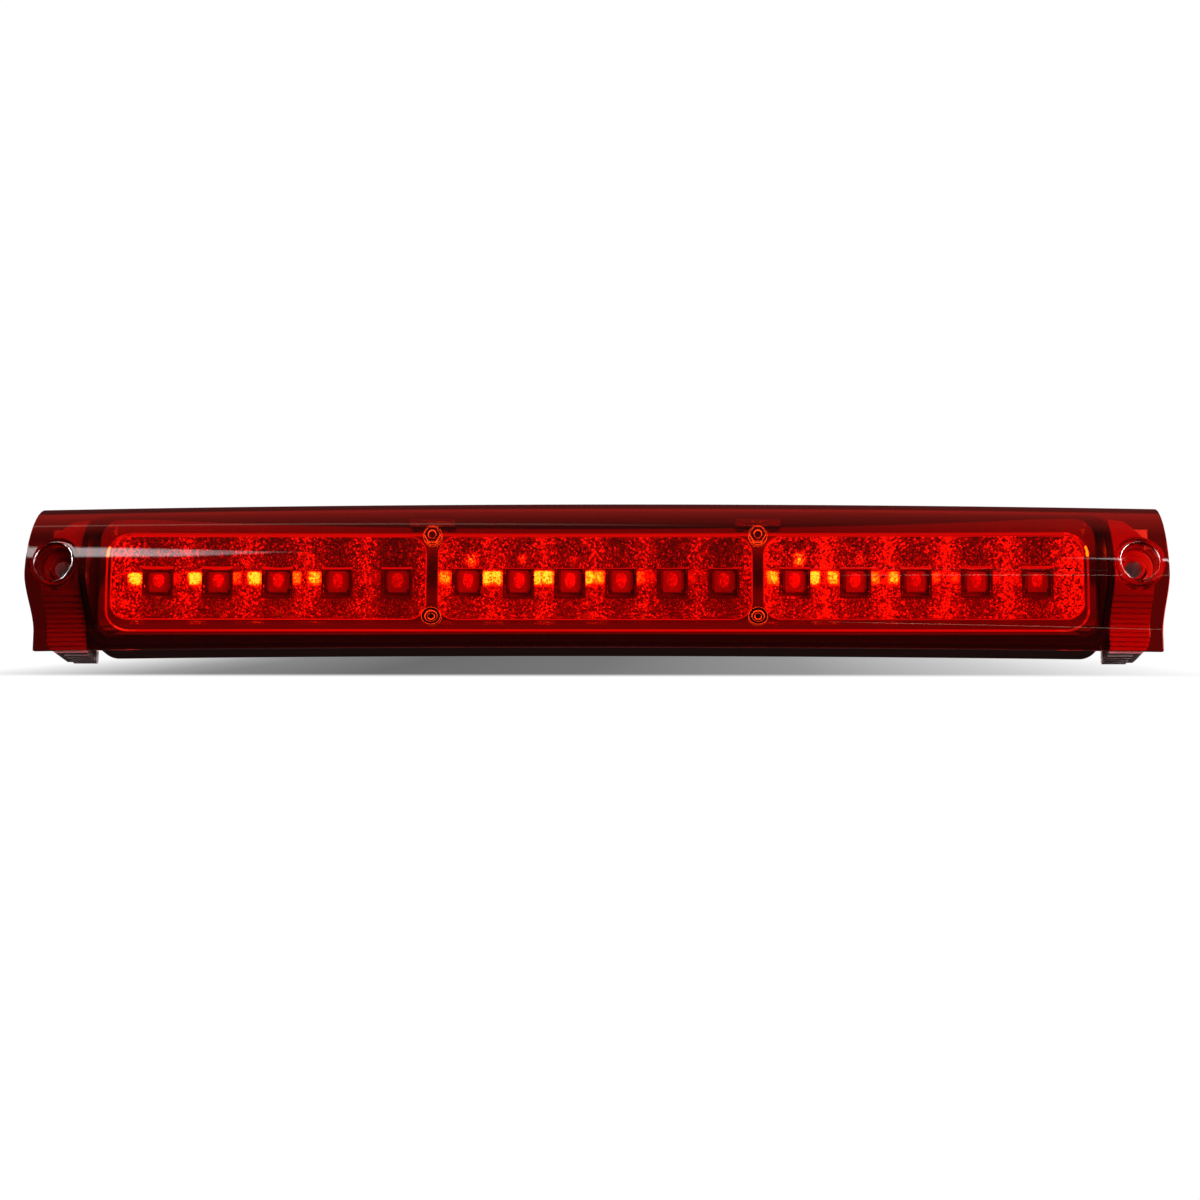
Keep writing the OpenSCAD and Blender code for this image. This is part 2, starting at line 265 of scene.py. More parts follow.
def group_nodes(name, inputs, outputs):
    """A shader node group with named float inputs and outputs."""
    group = bpy.data.node_groups.new(name, "ShaderNodeTree")
    for label, kind, default in inputs:
        socket = group.interface.new_socket(name=label, in_out="INPUT", socket_type=kind)
        socket.default_value = default
    for label, kind in outputs:
        group.interface.new_socket(name=label, in_out="OUTPUT", socket_type=kind)
    return group, group.nodes.new("NodeGroupInput"), group.nodes.new("NodeGroupOutput")


def math_node(tree, operation, a, b=0.0, c=0.0, clamp=False):
    """A math node on sockets or numbers. Returns its output."""
    node = tree.nodes.new("ShaderNodeMath")
    node.operation = operation
    node.use_clamp = clamp
    for socket, value in zip(node.inputs, (a, b, c)):
        if isinstance(value, (int, float)):
            socket.default_value = value
        else:
            tree.links.new(value, socket)
    return node.outputs[0]


def noise(tree, vector, scale, detail=4.0, rough=0.6):
    node = tree.nodes.new("ShaderNodeTexNoise")
    tree.links.new(vector, node.inputs["Vector"])
    if isinstance(scale, (int, float)):
        node.inputs["Scale"].default_value = scale
    else:
        tree.links.new(scale, node.inputs["Scale"])
    node.inputs["Detail"].default_value = detail
    node.inputs["Roughness"].default_value = rough
    return node.outputs["Fac"]


def build_grain():
    """Moulding grain: a fine height, and a slow roughness change from handling."""
    group, source, sink = group_nodes(
        "moulding_grain",
        [
            ("Grain Scale", "NodeSocketFloat", 2500.0),
            ("Roughness", "NodeSocketFloat", 0.4),
            ("Variation", "NodeSocketFloat", 0.1),
        ],
        [("Height", "NodeSocketFloat"), ("Roughness", "NodeSocketFloat"), ("Smudge", "NodeSocketFloat")],
    )
    place = group.nodes.new("ShaderNodeTexCoord").outputs["Object"]
    fine = noise(group, place, source.outputs["Grain Scale"], 2.0, 0.5)
    slow = noise(group, place, 45.0, 5.0, 0.65)
    centred = math_node(group, "SUBTRACT", slow, 0.5)
    spread = math_node(group, "MULTIPLY", centred, source.outputs["Variation"])
    rough = math_node(group, "ADD", source.outputs["Roughness"], spread, clamp=True)
    group.links.new(fine, sink.inputs["Height"])
    group.links.new(rough, sink.inputs["Roughness"])
    group.links.new(slow, sink.inputs["Smudge"])
    return group


def build_dust():
    """Dust: a mask on what faces up, broken up by noise."""
    group, source, sink = group_nodes(
        "settled_dust", [("Amount", "NodeSocketFloat", 0.3)], [("Mask", "NodeSocketFloat")]
    )
    place = group.nodes.new("ShaderNodeTexCoord").outputs["Object"]
    split = group.nodes.new("ShaderNodeSeparateXYZ")
    group.links.new(group.nodes.new("ShaderNodeNewGeometry").outputs["Normal"], split.inputs[0])
    up = math_node(group, "POWER", math_node(group, "MAXIMUM", split.outputs["Z"], 0.0), 2.0)
    speckle = noise(group, place, 900.0, 6.0, 0.75)
    broken = math_node(group, "MULTIPLY", up, math_node(group, "SUBTRACT", speckle, 0.35, clamp=True))
    mask = math_node(group, "MULTIPLY", broken, source.outputs["Amount"], clamp=True)
    group.links.new(mask, sink.inputs["Mask"])
    return group


def group_in(tree, group, **values):
    node = tree.nodes.new("ShaderNodeGroup")
    node.node_tree = group
    for label, value in values.items():
        node.inputs[label.replace("_", " ")].default_value = value
    return node


# ---------------------------------------------------------------- materials


def new_material(name, **sockets):
    """A material with its Principled shader's sockets set. Returns the material, tree and shader."""
    material = bpy.data.materials.new(name)
    material.use_nodes = True
    tree = material.node_tree
    shader = tree.nodes["Principled BSDF"]
    for label, value in sockets.items():
        socket = shader.inputs[label.replace("_", " ")]
        is_colour = isinstance(value, (tuple, list)) or hasattr(value, "r")
        socket.default_value = (*value, 1.0) if is_colour else value
    return material, tree, shader


def bump(tree, shader, height, strength, distance):
    node = tree.nodes.new("ShaderNodeBump")
    node.inputs["Strength"].default_value = strength
    node.inputs["Distance"].default_value = distance
    tree.links.new(height, node.inputs["Height"])
    tree.links.new(node.outputs["Normal"], shader.inputs["Normal"])


def fill_ramp(ramp, stops):
    """Gives a colour ramp its stops, from 0 to 1."""
    elements = ramp.color_ramp.elements
    elements[0].color = (*stops[0][1], 1.0)
    elements[1].color = (*stops[-1][1], 1.0)
    for place, shade in stops[1:-1]:
        elements.new(place).color = (*shade, 1.0)


def mixed_colour(tree, factor, dark, light):
    """A colour between two constants. Returns the socket."""
    ramp = tree.nodes.new("ShaderNodeValToRGB")
    fill_ramp(ramp, ((0.0, dark), (1.0, light)))
    tree.links.new(factor, ramp.inputs["Fac"])
    return ramp.outputs["Color"]


DUST_COLOUR = (0.35, 0.32, 0.29, 1.0)
GRAIN_HEIGHT = 0.06 * MM


def moulded(name, base, rough, variation=0.12, grain=2500.0, depth=0.25, dust=0.0, **sockets):
    """Moulded plastic, rubber or paint: grain, roughness change and a little dust."""
    material, tree, shader = new_material(name, **sockets)
    grain_node = group_in(
        tree, bpy.data.node_groups["moulding_grain"], Grain_Scale=grain, Roughness=rough, Variation=variation
    )
    tree.links.new(grain_node.outputs["Roughness"], shader.inputs["Roughness"])
    bump(tree, shader, grain_node.outputs["Height"], depth, GRAIN_HEIGHT)
    light = tuple(min(c * 1.25 + 0.002, 1.0) for c in base)
    plain = mixed_colour(tree, grain_node.outputs["Smudge"], tuple(base), light)
    if dust:
        mask = group_in(tree, bpy.data.node_groups["settled_dust"], Amount=dust)
        mix = tree.nodes.new("ShaderNodeMix")
        mix.data_type = "RGBA"
        mix.inputs["B"].default_value = DUST_COLOUR
        tree.links.new(mask.outputs["Mask"], mix.inputs["Factor"])
        tree.links.new(plain, mix.inputs["A"])
        plain = mix.outputs["Result"]
    tree.links.new(plain, shader.inputs["Base Color"])
    return material


def metal(name, base, rough, variation=0.15, grain=1200.0, depth=0.1):
    """Plated or rolled metal with faint handling marks."""
    return moulded(name, base, rough, variation, grain, depth, Metallic=1.0)


def lens_glass():
    """Clear red plastic that lets the lamps' light through."""
    material, tree, shader = new_material(
        "red_lens", Base_Color=colours().lens, IOR=1.49, Transmission_Weight=1.0, Roughness=0.0
    )
    grain = group_in(
        tree, bpy.data.node_groups["moulding_grain"], Grain_Scale=300.0, Roughness=0.012, Variation=0.02
    )
    tree.links.new(grain.outputs["Roughness"], shader.inputs["Roughness"])
    clear = tree.nodes.new("ShaderNodeBsdfTransparent")
    clear.inputs["Color"].default_value = (*colours().lens, 1.0)
    path = tree.nodes.new("ShaderNodeLightPath")
    mix = tree.nodes.new("ShaderNodeMixShader")
    tree.links.new(path.outputs["Is Shadow Ray"], mix.inputs["Fac"])
    tree.links.new(shader.outputs["BSDF"], mix.inputs[1])
    tree.links.new(clear.outputs["BSDF"], mix.inputs[2])
    tree.links.new(mix.outputs["Shader"], tree.nodes["Material Output"].inputs["Surface"])
    return material


# how bright and how yellow a glowing face is at each step: the LED domes' own light, and painted light on the
# facets, the frame's edges and the domes' glints
GLOW_STRENGTH = 34.0
GLOW_STOPS = (
    (0.0, (0.0, 0.0, 0.0)),
    (0.15, (0.004, 0.0, 0.0)),
    (0.35, (0.022, 0.0010, 0.0004)),
    (0.50, (0.07, 0.0060, 0.0010)),
    (0.70, (0.30, 0.20, 0.004)),
    (0.85, (1.0, 0.95, 0.03)),
    (1.0, (1.0, 1.0, 0.12)),
)


def glow_ramp(tree, shader):
    """Feeds the emission from the piece's own attribute: the LED domes' own light with painted glints, and
    painted light on facets and frame edges.
    """
    glow_and_painted_light = tree.nodes.new("ShaderNodeAttribute")
    glow_and_painted_light.attribute_name = "glow_and_painted_light"
    glow_and_painted_light.attribute_type = "GEOMETRY"
    ramp = tree.nodes.new("ShaderNodeValToRGB")
    fill_ramp(ramp, GLOW_STOPS)
    tree.links.new(glow_and_painted_light.outputs["Fac"], ramp.inputs["Fac"])
    tree.links.new(ramp.outputs["Color"], shader.inputs["Emission Color"])
    shader.inputs["Emission Strength"].default_value = GLOW_STRENGTH


def reflector_metal():
    """Metallised facets, with painted light: an emission on the facets beside the LEDs, fed by each face's
    painted light value.
    """
    material, tree, shader = new_material("bright_reflector", Metallic=1.0, Roughness=0.14)
    grain = group_in(
        tree, bpy.data.node_groups["moulding_grain"], Grain_Scale=1500.0, Roughness=0.14, Variation=0.06
    )
    tree.links.new(grain.outputs["Roughness"], shader.inputs["Roughness"])
    base = tuple(colours().reflector)
    dull = tuple(c * 0.9 for c in base)
    tree.links.new(mixed_colour(tree, grain.outputs["Smudge"], dull, base), shader.inputs["Base Color"])
    # painted light: the facets emit by their painted attribute
    glow_ramp(tree, shader)
    return material


def painted_edge_light():
    """The frame's raised edges, with a painted highlight: an emission that makes them shine."""
    material, tree, shader = new_material(
        "painted_edge_light", Base_Color=colours().reflector, Metallic=1.0, Roughness=0.2
    )
    glow_ramp(tree, shader)
    return material


def painted_rim_glint():
    """The screw heads' rounded edges, with a painted glint: a yellow emission."""
    return new_material(
        "painted_rim_glint", Base_Color=colours().reflector, Metallic=1.0, Roughness=0.2,
        Emission_Color=(1.0, 1.0, 0.1), Emission_Strength=5.0,
    )[0]


def dome_resin():
    """Clear resin over the chip, lit from inside."""
    material, tree, shader = new_material(
        "led_dome", Base_Color=(1.0, 0.55, 0.25), IOR=1.45, Transmission_Weight=0.6, Roughness=0.08
    )
    grain = group_in(
        tree, bpy.data.node_groups["moulding_grain"], Grain_Scale=800.0, Roughness=0.08, Variation=0.05
    )
    tree.links.new(grain.outputs["Roughness"], shader.inputs["Roughness"])
    glow_ramp(tree, shader)
    return material


def block_plastic():
    """Grey moulding of the end blocks, with painted shade that darkens the foot standing out below the lens.
    """
    material = moulded("grey_moulding", colours().block, 0.38, 0.12, dust=0.2)
    tree = material.node_tree
    base = tree.nodes["Principled BSDF"].inputs["Base Color"]
    unshaded = base.links[0].from_socket
    split = tree.nodes.new("ShaderNodeSeparateXYZ")
    tree.links.new(tree.nodes.new("ShaderNodeTexCoord").outputs["Object"], split.inputs[0])
    # painted shade: the base colour is darkened towards the foot, below the lens's lower edge
    step = tree.nodes.new("ShaderNodeMapRange")
    shade_darkest_at, shade_ends_at, darkest = -25.1 * MM, -24.3 * MM, 0.22
    for label, number in (
        ("From Min", shade_darkest_at), ("From Max", shade_ends_at), ("To Min", darkest), ("To Max", 1.0)
    ):
        step.inputs[label].default_value = number
    tree.links.new(split.outputs["Z"], step.inputs["Value"])
    shade = tree.nodes.new("ShaderNodeVectorMath")
    shade.operation = "SCALE"
    tree.links.new(unshaded, shade.inputs[0])
    tree.links.new(step.outputs["Result"], shade.inputs["Scale"])
    tree.links.new(shade.outputs["Vector"], base)
    return material


def finish(name):
    """A finish by the record's slot name, made on first use."""
    made = bpy.data.materials.get("lamp_" + name)
    if made:
        return made
    c = colours()
    makers = {
        "red_lens": lens_glass,
        "bright_reflector": reflector_metal,
        "led_dome": dome_resin,
        "painted_edge_light": painted_edge_light,
        "painted_rim_glint": painted_rim_glint,
        "black_housing": lambda: moulded(name, c.housing, 0.42, 0.15, dust=0.25),
        "grey_moulding": block_plastic,
        "sealant": lambda: moulded(name, (0.015, 0.015, 0.015), 0.6, 0.2, 900.0, 0.5),
        "dark_bezel": lambda: metal(name, c.bezel, 0.13, 0.04, 900.0, 0.02),
        "board": lambda: moulded(name, (0.26, 0.27, 0.24), 0.35, 0.1, 1800.0, 0.2),
        "led_package": lambda: moulded(
            name, (0.40, 0.34, 0.28), 0.35, 0.1, 2000.0, 0.1, Emission_Color=(1.0, 0.05, 0.04),
            Emission_Strength=0.14,
        ),
        "chip": lambda: moulded(name, (0.02, 0.02, 0.022), 0.45, 0.15, 3000.0, 0.4),
        "capacitor_can": lambda: metal(name, (0.72, 0.72, 0.74), 0.3),
        "bright_steel": lambda: metal(name, (0.70, 0.69, 0.67), 0.24),
        "dark_steel": lambda: metal(name, (0.16, 0.14, 0.14), 0.34),
        "brass_blade": lambda: metal(name, (0.80, 0.60, 0.28), 0.3),
        "red_wire": lambda: moulded(name, (0.42, 0.015, 0.012), 0.4),
        "black_wire": lambda: moulded(name, (0.015, 0.015, 0.015), 0.4),
        "foam": lambda: moulded(name, (0.035, 0.035, 0.038), 0.85, 0.1, 1400.0, 1.0, dust=0.3),
    }
    material = makers[name]()
    material.name = "lamp_" + name
    return material


# ---------------------------------------------------------------- operators


class LAMP_OT_lens(bpy.types.Operator):
    """Builds the red lens with its bowed face and the screw well in each ear"""

    bl_idname = "lamp.lens"
    bl_label = "Lens"

    # the fine square of the grid round each ear's hole, and the part of it that the hole takes
    cells = 24
    kept = 8
    cell = 0.78 * MM
    # steps of the grid's plain stretches
    middle_steps = 72
    top_steps = 30
    roll_steps = 20
    foot_steps = 6
    lip = 0.6 * MM
    # the well's lower end: radius, and how far down it lies
    collar = ((4.9 * MM, 1.0), (4.7 * MM, 0.955), (3.9 * MM, 0.95))

    def lines(self):
        """Where the face's grid lines run, across and up."""
        s = sizes()
        half_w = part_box("lens")[1].x
        ear = self.cells // 2 * self.cell
        steps = [s.screw_x - ear + 2 * ear * i / self.cells for i in range(self.cells + 1)]
        middle = [steps[0] * (-1 + 2 * i / self.middle_steps) for i in range(1, self.middle_steps)]
        across = [-half_w, *[-x for x in reversed(steps)], *middle, *steps, half_w]
        rise = s.lens_top + s.nose_drop
        turn = math.asin(((ear + s.nose_drop) / rise) ** (BULGE / 2))
        turns = [turn + (math.pi / 2 - turn) * i / self.top_steps for i in range(1, self.top_steps + 1)]
        upper = [-s.nose_drop + rise * math.sin(t) ** (2 / BULGE) for t in turns]
        mid = [-ear + 2 * ear * i / self.cells for i in range(self.cells + 1)]
        roll, flat = s.roll_end - ear, s.lens_foot - s.roll_end
        lower = [-s.roll_end + roll * i / self.roll_steps for i in range(self.roll_steps)]
        foot = [-s.lens_foot + flat * i / self.foot_steps for i in range(self.foot_steps)]
        return across, foot + lower + mid + upper, ear

    def execute(self, context):
        s = sizes()
        across, up, ear = self.lines()
        bm = bmesh.new()
        nx, nz = len(across) - 1, len(up) - 1
        bmesh.ops.create_grid(bm, x_segments=nx, y_segments=nz, size=1.0)
        for v in bm.verts:
            i, j = round((v.co.x + 1) / 2 * nx), round((v.co.y + 1) / 2 * nz)
            v.co = Vector((across[i], 0, up[j]))
        inner = self.kept / (self.cells / 2)
        holes = []
        for f in bm.faces:
            c = f.calc_center_median()
            if max(abs(abs(c.x) - s.screw_x), abs(c.z)) < inner * ear:
                holes.append(f)
        bmesh.ops.delete(bm, geom=holes, context="FACES")
        lip_radius = s.bore_radius + self.lip
        for v in bm.verts:
            side = math.copysign(1, v.co.x)
            du, dv = (v.co.x - side * s.screw_x) / ear, v.co.z / ear
            m = max(abs(du), abs(dv))
            if m > 1 + 1e-6:
                continue
            if abs(du) >= abs(dv):
                turn = math.pi / 4 * dv / du
                aim = Vector((math.cos(turn), math.sin(turn))) * math.copysign(1, du)
            else:
                turn = math.pi / 4 * du / dv
                aim = Vector((math.sin(turn), math.cos(turn))) * math.copysign(1, dv)
            t = (m - inner) / (1 - inner)
            flat = aim * lip_radius * (1 - t) + Vector((du, dv)) / m * ear * t
            v.co.x = side * s.screw_x + flat.x
            v.co.z = flat.y
        for v in bm.verts:
            v.co.y = bow_back(v.co.x, lens_height(v.co.z))
        self.wells(bm, lip_radius)
        bmesh.ops.recalc_face_normals(bm, faces=bm.faces)
        front = max(bm.faces, key=lambda f: f.calc_area())
        if front.normal.y > 0:
            bmesh.ops.reverse_faces(bm, faces=bm.faces)
        piece = put("outer_lens", bm, finish("red_lens"), ["lens"], sharp=50)
        thicken(piece, s.lens_wall)
        round_edges(piece, 0.45 * MM, 3, 60, harden=False)
        return {"FINISHED"}

    def wells(self, bm, lip_radius):
        """Draws each ear's hole down into its well: lip, wall, floor, collar and screw hole."""
        s = sizes()
        floor = -s.bore_floor
        for side in (-1, 1):
            axis = side * s.screw_x
            loop = [
                e
                for e in bm.edges
                if e.is_boundary
                and all(abs(math.hypot(v.co.x - axis, v.co.z) - lip_radius) < 0.05 * MM for v in e.verts)
            ]
            if not loop:
                raise RuntimeError("the ear's hole was not found")
            rim = {v: v.co.y for e in loop for v in e.verts}
            path = [
                (lip_radius - self.lip * math.sin(a), self.lip * (1 - math.cos(a)), None)
                for a in (math.radians(22.5 * k) for k in range(1, 5))
            ]
            path += [(s.bore_radius, None, t) for t in (0.35, 0.7, 0.96)]
            path += [(s.bore_radius - 0.35 * MM, None, 1.0)]
            path += [(radius, None, share) for radius, share in self.collar]
            path += [(s.screw_radius, None, 1.0)]
            for radius, drop, share in path:
                made = bmesh.ops.extrude_edge_only(bm, edges=loop)["geom"]
                verts = [g for g in made if isinstance(g, bmesh.types.BMVert)]
                loop = [g for g in made if isinstance(g, bmesh.types.BMEdge) and g.is_boundary]
                for v in verts:
                    turn = math.atan2(v.co.z, v.co.x - axis)
                    top = self.rim_height(rim, v, axis)
                    if share is not None:
                        drop = self.lip + (floor - top - self.lip) * share
                    v.co.x = axis + radius * math.cos(turn)
                    v.co.z = radius * math.sin(turn)
                    v.co.y = top + drop

    def rim_height(self, rim, v, axis):
        """The y of the lip's start on the same ray from the screw axis."""
        turn = math.atan2(v.co.z, v.co.x - axis)
        best = min(
            rim,
            key=lambda r: abs(math.remainder(math.atan2(r.co.z, r.co.x - axis) - turn, 2 * math.pi)),
        )
        return rim[best]


class LAMP_OT_housing(bpy.types.Operator):
    """Builds the black housing, the end blocks, the bead and the parts in the back"""

    bl_idname = "lamp.housing"
    bl_label = "Housing and end blocks"

    def execute(self, context):
        dressed("housing", "lamp_housing", finish("black_housing"), 0.4 * MM)
        for side in ("left", "right"):
            dressed(
                f"{side}_end_block", f"{side}_block", finish("grey_moulding"), 0.18 * MM, 2
            )
        dressed("sealant_bead", "lens_sealant", finish("sealant"))
        dressed("back_gasket", "foam_gasket", finish("foam"), 0.3 * MM, 3)
        dressed("vent_plug", "breather_plug", finish("sealant"), 0.15 * MM)
        dressed("connector_shell", "plug_shell", finish("black_housing"), 0.25 * MM)
        dressed("connector_terminals", "plug_blades", finish("brass_blade"), 0.15 * MM)
        dressed("supply_lead", "lead_red", finish("red_wire"))
        dressed("ground_lead", "lead_black", finish("black_wire"))
        return {"FINISHED"}


class LAMP_OT_bezel(bpy.types.Operator):
    """Builds the metallised frame with its three tray windows"""

    bl_idname = "lamp.bezel"
    bl_label = "Bezel"

    # outlines: half length, foot, top and corner radius
    plate = (176.6 * MM, -23.5 * MM, 17.6 * MM, 7 * MM)
    step = (178.3 * MM, -25 * MM, 18.6 * MM, 8 * MM)
    raised = (174.2 * MM, -22.3 * MM, 12.9 * MM, 8.5 * MM)
    plate_wall = 1.4 * MM
    step_height = 20.5 * MM
    step_width = 3.2 * MM
    step_wall = 1.2 * MM
    step_tilt_from = 14 * MM
    step_tilt = 0.16
    raised_width = 0.75 * MM
    rim_width = 0.35 * MM
    bead_rise = 0.45 * MM
    bead_root = 0.3 * MM
    # the face curves back from its crest as a parabola
    crest = -3 * MM
    curve = 0.0044 / MM

    def execute(self, context):
        s = sizes()
        bm = bmesh.new()
        y = -s.bezel_front
        self.outline(bm, self.plate, y)
        for x0, x1 in TRAYS.values():
            rounded_face(bm, x0, x1, s.window_foot, s.window_top, WINDOW_CORNER, y)
        bmesh.ops.delete(bm, geom=bm.faces[:], context="FACES_ONLY")
        bmesh.ops.triangle_fill(bm, use_beauty=True, use_dissolve=False, edges=bm.edges[:])
        for f in bm.faces:
            if f.normal.y > 0:
                f.normal_flip()
        for k in range(-22, 17, 2):
            bmesh.ops.bisect_plane(
                bm, geom=bm.verts[:] + bm.edges[:] + bm.faces[:], dist=1e-7, plane_co=(0, 0, k * MM),
                plane_no=(0, 0, 1),
            )
        for v in bm.verts:
            v.co.y += self.curve * (v.co.z - self.crest) ** 2
        made = bmesh.ops.extrude_face_region(bm, geom=bm.faces[:])["geom"]
        for v in made:
            if isinstance(v, bmesh.types.BMVert):
                v.co.y += self.plate_wall
        bmesh.ops.recalc_face_normals(bm, faces=bm.faces)
        self.skirt(bm)
        first_bead = len(bm.faces)
        half, foot, top, corner = self.raised
        self.bead(bm, -half, half, foot, top, corner, self.raised_width)
        for x0, x1 in TRAYS.values():
            self.bead(bm, x0, x1, s.window_foot, s.window_top, WINDOW_CORNER, self.rim_width)
        glow_and_painted_light = bm.faces.layers.float.new("glow_and_painted_light")
        chance = random.Random(11)
        # painted highlight: the raised beads glow a little at random, and more at the frame's ends
        for i, f in enumerate(bm.faces):
            if i >= first_bead:
                f.material_index = 1
                f[glow_and_painted_light] = 0.24 + 0.16 * chance.random()
                if self.painted_glints(f.calc_center_median()):
                    f[glow_and_painted_light] = 0.75
        finishes = [finish("dark_bezel"), finish("painted_edge_light")]
        piece = put("tray_bezel", bm, finishes, ["bezel"], sharp=35)
        round_edges(piece, 0.6 * MM, 4, 50)
        return {"FINISHED"}

    def outline(self, bm, extent, y):
        """A rounded face across the whole lamp."""
        half, foot, top, corner = extent
        rounded_face(bm, -half, half, foot, top, corner, y)

    def painted_glints(self, c):
        """Whether that place is on the painted highlight at the frame's ends."""
        return abs(c.x) > 173 * MM and abs(c.z - 5.5 * MM) < 3 * MM

    def bead(self, bm, x0, x1, z0, z1, radius, width):
        """A thin raised bead along a rounded outline on the frame's face."""
        s = sizes()
        old = set(bm.faces)
        rounded_face(bm, x0, x1, z0, z1, radius, 0.0)
        middle = [f for f in bm.faces if f not in old]
        ring = bmesh.ops.inset_individual(bm, faces=middle, thickness=width)["faces"]
        bmesh.ops.delete(bm, geom=middle, context="FACES_ONLY")
        made = bmesh.ops.extrude_face_region(bm, geom=ring)["geom"]
        lifted = {v for v in made if isinstance(v, bmesh.types.BMVert)}
        new = [f for f in bm.faces if f not in old]
        for v in {v for f in new for v in f.verts}:
            face = -s.bezel_front + self.curve * (v.co.z - self.crest) ** 2
            v.co.y = face - self.bead_rise if v in lifted else face + self.bead_root
        bmesh.ops.recalc_face_normals(bm, faces=new)

    def skirt(self, bm):
        """The lower step round the frame, out to the housing's rim."""
        old = set(bm.faces)
        self.outline(bm, self.step, -self.step_height)
        middle = [f for f in bm.faces if f not in old]
        flat = bmesh.ops.inset_individual(bm, faces=middle, thickness=self.step_width)["faces"]
        bmesh.ops.delete(bm, geom=middle, context="FACES_ONLY")
        for v in {v for f in flat for v in f.verts}:
            v.co.y += self.step_tilt * max(v.co.z - self.step_tilt_from, 0.0)
        made = bmesh.ops.extrude_face_region(bm, geom=flat)["geom"]
        for v in made:
            if isinstance(v, bmesh.types.BMVert):
                v.co.y += self.step_wall
        bmesh.ops.recalc_face_normals(bm, faces=[f for f in bm.faces if f not in old])


